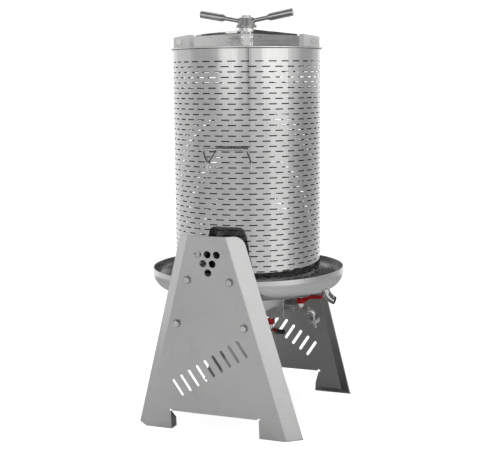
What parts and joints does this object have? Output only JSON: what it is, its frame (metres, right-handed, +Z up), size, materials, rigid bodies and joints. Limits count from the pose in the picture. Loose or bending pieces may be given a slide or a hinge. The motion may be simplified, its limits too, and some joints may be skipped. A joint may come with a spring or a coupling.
{
  "type": "basket wine press",
  "caption": "Stainless water-bladder basket press: slotted upright basket on a round juice tray with spout, two folded sheet legs, ribbed lid held by a T-handle nut, valves below.",
  "frame": {"origin": "on the ground, under the centre of the basket and tie rod", "axes": "+Z up along the tie rod, -Y towards the front leg, +X towards the juice spout"},
  "size_m": [0.62, 0.6818, 1.3037],
  "materials": {
    "leg_steel": "satin stainless sheet",
    "fastener_steel": "plain stainless fastener",
    "cradle_steel": "mill-finish stainless sheet",
    "tray_steel": "satin spun stainless",
    "spout_steel": "polished stainless tube",
    "rod_steel": "plain stainless threaded bar",
    "clamp_steel": "turned stainless",
    "bladder_rubber": "matt black food-grade rubber",
    "seal_rubber": "matt black rubber",
    "basket_steel": "bright slotted stainless sheet",
    "basket_trim_steel": "polished stainless",
    "lid_steel": "satin stainless plate",
    "rib_steel": "satin folded stainless sheet",
    "handle_steel": "turned stainless bar",
    "pipe_steel": "stainless tube",
    "fitting_nickel": "nickel-plated fitting",
    "nozzle_dark": "black ribbed nozzle",
    "lever_red": "red plastic-coated lever"
  },
  "bodies": {
    "stand": {"leg_front": "leg_steel", "leg_back": "leg_steel", "leg_bolts": "fastener_steel", "leg_washers": "fastener_steel", "leg_nuts": "fastener_steel", "clamp_bolts": "fastener_steel", "rod_nuts": "fastener_steel", "rod_anchor_washer": "fastener_steel", "gland_nuts": "fastener_steel", "tray_cradle": "cradle_steel", "juice_tray": "tray_steel", "juice_spout": "spout_steel", "tie_rod": "rod_steel", "base_disc": "clamp_steel", "bladder_clamp_ring": "clamp_steel", "bladder_top_disc": "clamp_steel", "bladder": "bladder_rubber", "water_riser": "pipe_steel", "inlet_pipe": "pipe_steel", "drain_pipe": "pipe_steel", "drain_nipple": "pipe_steel", "inlet_elbow": "pipe_steel", "water_tee": "fitting_nickel", "drain_elbow": "fitting_nickel", "inlet_valve_body": "fitting_nickel", "drain_valve_body": "fitting_nickel", "hose_tail": "fitting_nickel", "drain_nozzle": "nozzle_dark"},
    "basket": {"basket_shell": "basket_steel", "basket_rim": "basket_trim_steel", "basket_foot_ring": "basket_trim_steel", "basket_handle_front": "basket_trim_steel", "basket_handle_back": "basket_trim_steel"},
    "lid": {"lid_shoe_bolts": "fastener_steel", "lid_shoe_nuts": "fastener_steel", "lid_seal": "seal_rubber", "lid_plate": "lid_steel", "lid_hub": "lid_steel", "lid_rib_front": "rib_steel", "lid_rib_right": "rib_steel", "lid_rib_back": "rib_steel", "lid_rib_left": "rib_steel", "lid_shoe_front": "rib_steel", "lid_shoe_right": "rib_steel", "lid_shoe_back": "rib_steel", "lid_shoe_left": "rib_steel"},
    "thrust_washers": {"handle_washer": "handle_steel", "thrust_ring": "handle_steel"},
    "t_handle": {"handle_nut": "handle_steel", "handle_arm_left": "handle_steel", "handle_arm_right": "handle_steel"},
    "inlet_lever": {"inlet_lever": "lever_red", "inlet_lever_nut": "fastener_steel", "inlet_valve_stem": "fitting_nickel", "inlet_valve_ball": "fitting_nickel"},
    "drain_lever": {"drain_lever": "lever_red", "drain_lever_nut": "fastener_steel", "drain_valve_stem": "fitting_nickel", "drain_valve_ball": "fitting_nickel"},
    "hose_nut": {"hose_nut": "fitting_nickel"}
  },
  "joints": [
    {"name": "basket_lift", "type": "slide", "parent": "stand", "child": "basket", "axis": [0, 0, 1], "range_m": [0, 0.9]},
    {"name": "lid_lift", "type": "slide", "parent": "basket", "child": "lid", "axis": [0, 0, 1], "range_m": [0, 0.15]},
    {"name": "handle_lift", "type": "slide", "parent": "lid", "child": "thrust_washers", "axis": [0, 0, 1], "range_m": [0, 0.0152]},
    {"name": "handle_turn", "type": "hinge", "parent": "thrust_washers", "child": "t_handle", "pos_m": [0, 0, 1.25], "axis": [0, 0, 1], "range_deg": [0, 1800]},
    {"name": "inlet_lever_turn", "type": "hinge", "parent": "stand", "child": "inlet_lever", "pos_m": [0.168, 0.04, 0.333], "axis": [0, 0, 1], "range_deg": [-90, 0]},
    {"name": "drain_lever_turn", "type": "hinge", "parent": "stand", "child": "drain_lever", "pos_m": [0.062, 0.04, 0.255], "axis": [0, 0, 1], "range_deg": [0, 90]},
    {"name": "hose_nut_turn", "type": "hinge", "parent": "stand", "child": "hose_nut", "pos_m": [0.208, 0.04, 0.333], "axis": [0, 0.4226, -0.9063], "continuous": true}
  ],
  "couplings": [
    {"joint": "handle_lift", "follows": "handle_turn", "m_per_rad": 0.00047746}
  ]
}
